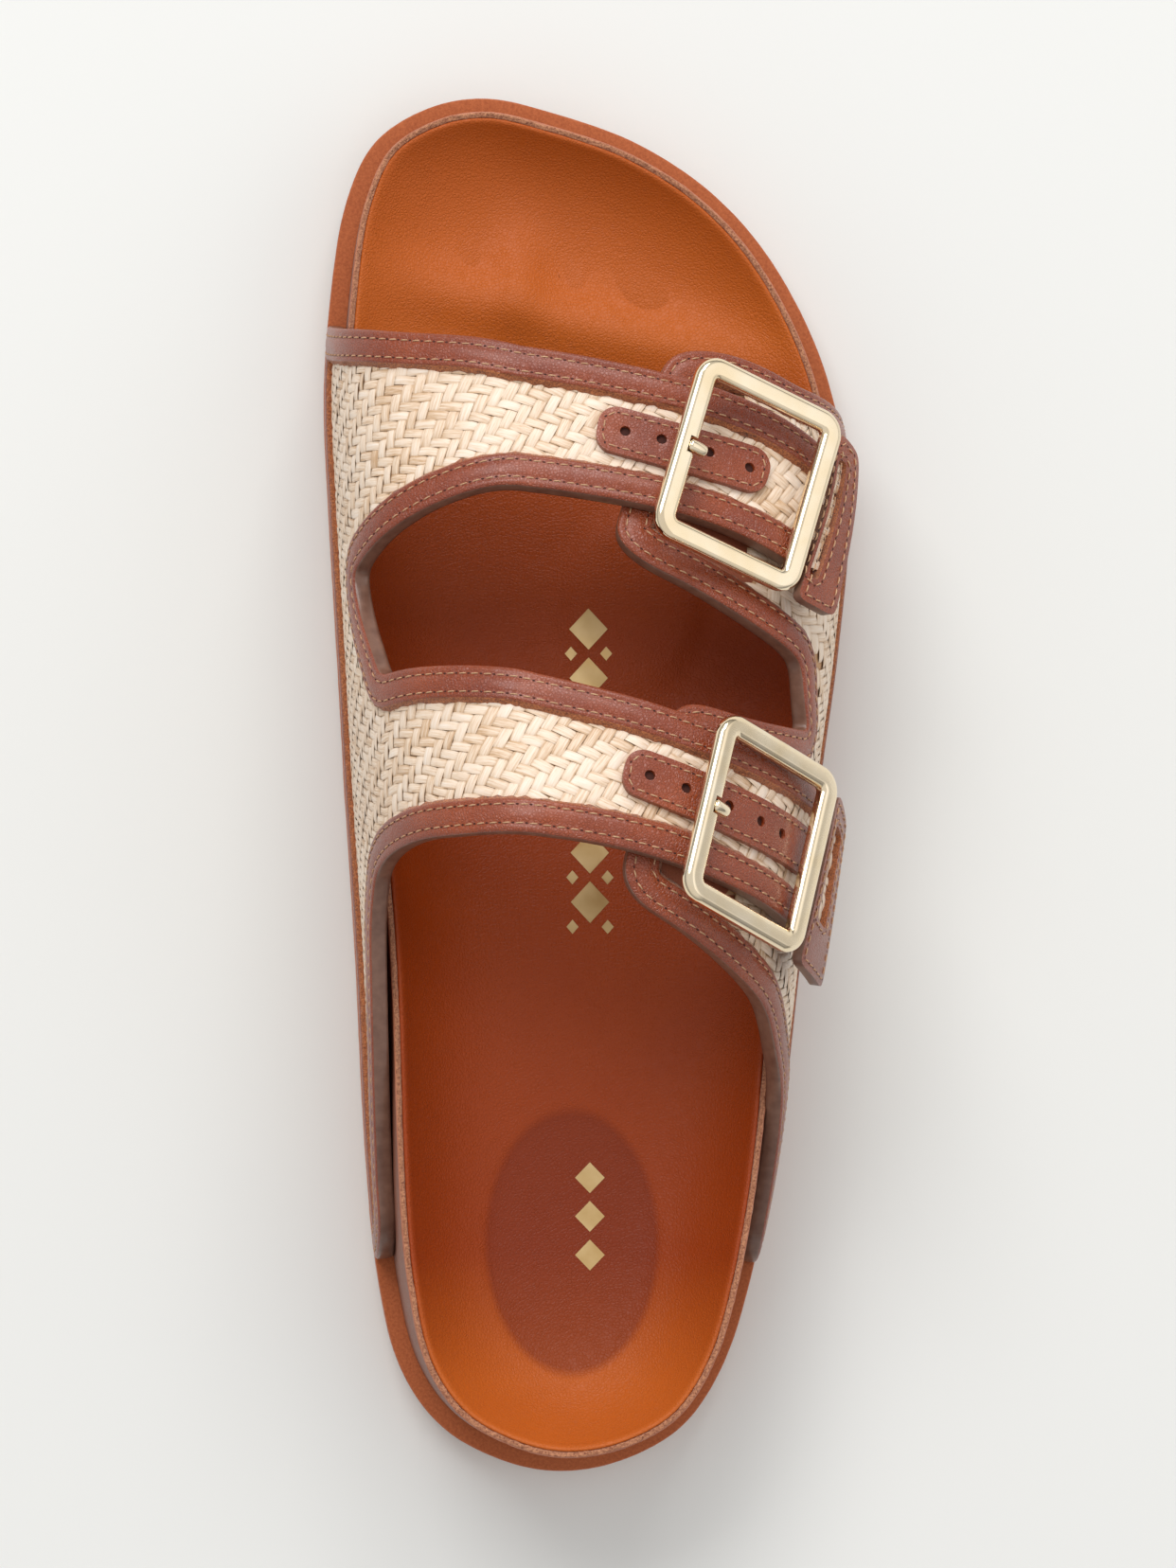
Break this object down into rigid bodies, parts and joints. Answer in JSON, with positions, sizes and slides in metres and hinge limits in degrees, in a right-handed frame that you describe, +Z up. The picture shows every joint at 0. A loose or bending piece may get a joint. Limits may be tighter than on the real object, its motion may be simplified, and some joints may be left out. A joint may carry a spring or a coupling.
{
  "type": "raffia sandal",
  "caption": "Right two-strap slip-on sandal: woven raffia straps with leather borders and square gilt buckles, on a contoured leather-lined footbed and flat sole.",
  "frame": {"origin": "on the floor under the middle of the sole's length, on the line that the outline is measured from", "axes": "+Z up, +Y along the sole to the toe, +X to the outer side of the foot"},
  "size_m": [0.0965, 0.252, 0.0867],
  "materials": {
    "outsole": "moulded sole sheet, matte tan",
    "midsole": "leather ledge, fine matte grain",
    "footbed": "smooth leather wrap with a raw cut rim",
    "lining": "smooth tan leather, soft sheen",
    "raffia": "flat raffia strips in a herringbone weave",
    "border": "reddish brown leather with stitching and painted edges",
    "gilt": "polished pale gilt"
  },
  "bodies": {
    "root": {"outsole": "outsole", "midsole": "midsole", "footbed": "footbed", "insole": "lining", "upper_medial": "raffia", "border_medial_rear": "border", "border_medial_window": "border", "border_medial_front": "border", "upper_lateral": "raffia", "border_lateral": "border", "hole_patch_front": "border", "hole_patch_rear": "border", "buckle_tab_front": "border", "buckle_tab_rear": "border", "buckle_frame_front": "gilt", "buckle_frame_rear": "gilt", "buckle_prong_front": "gilt", "buckle_prong_rear": "gilt"}
  },
  "joints": []
}
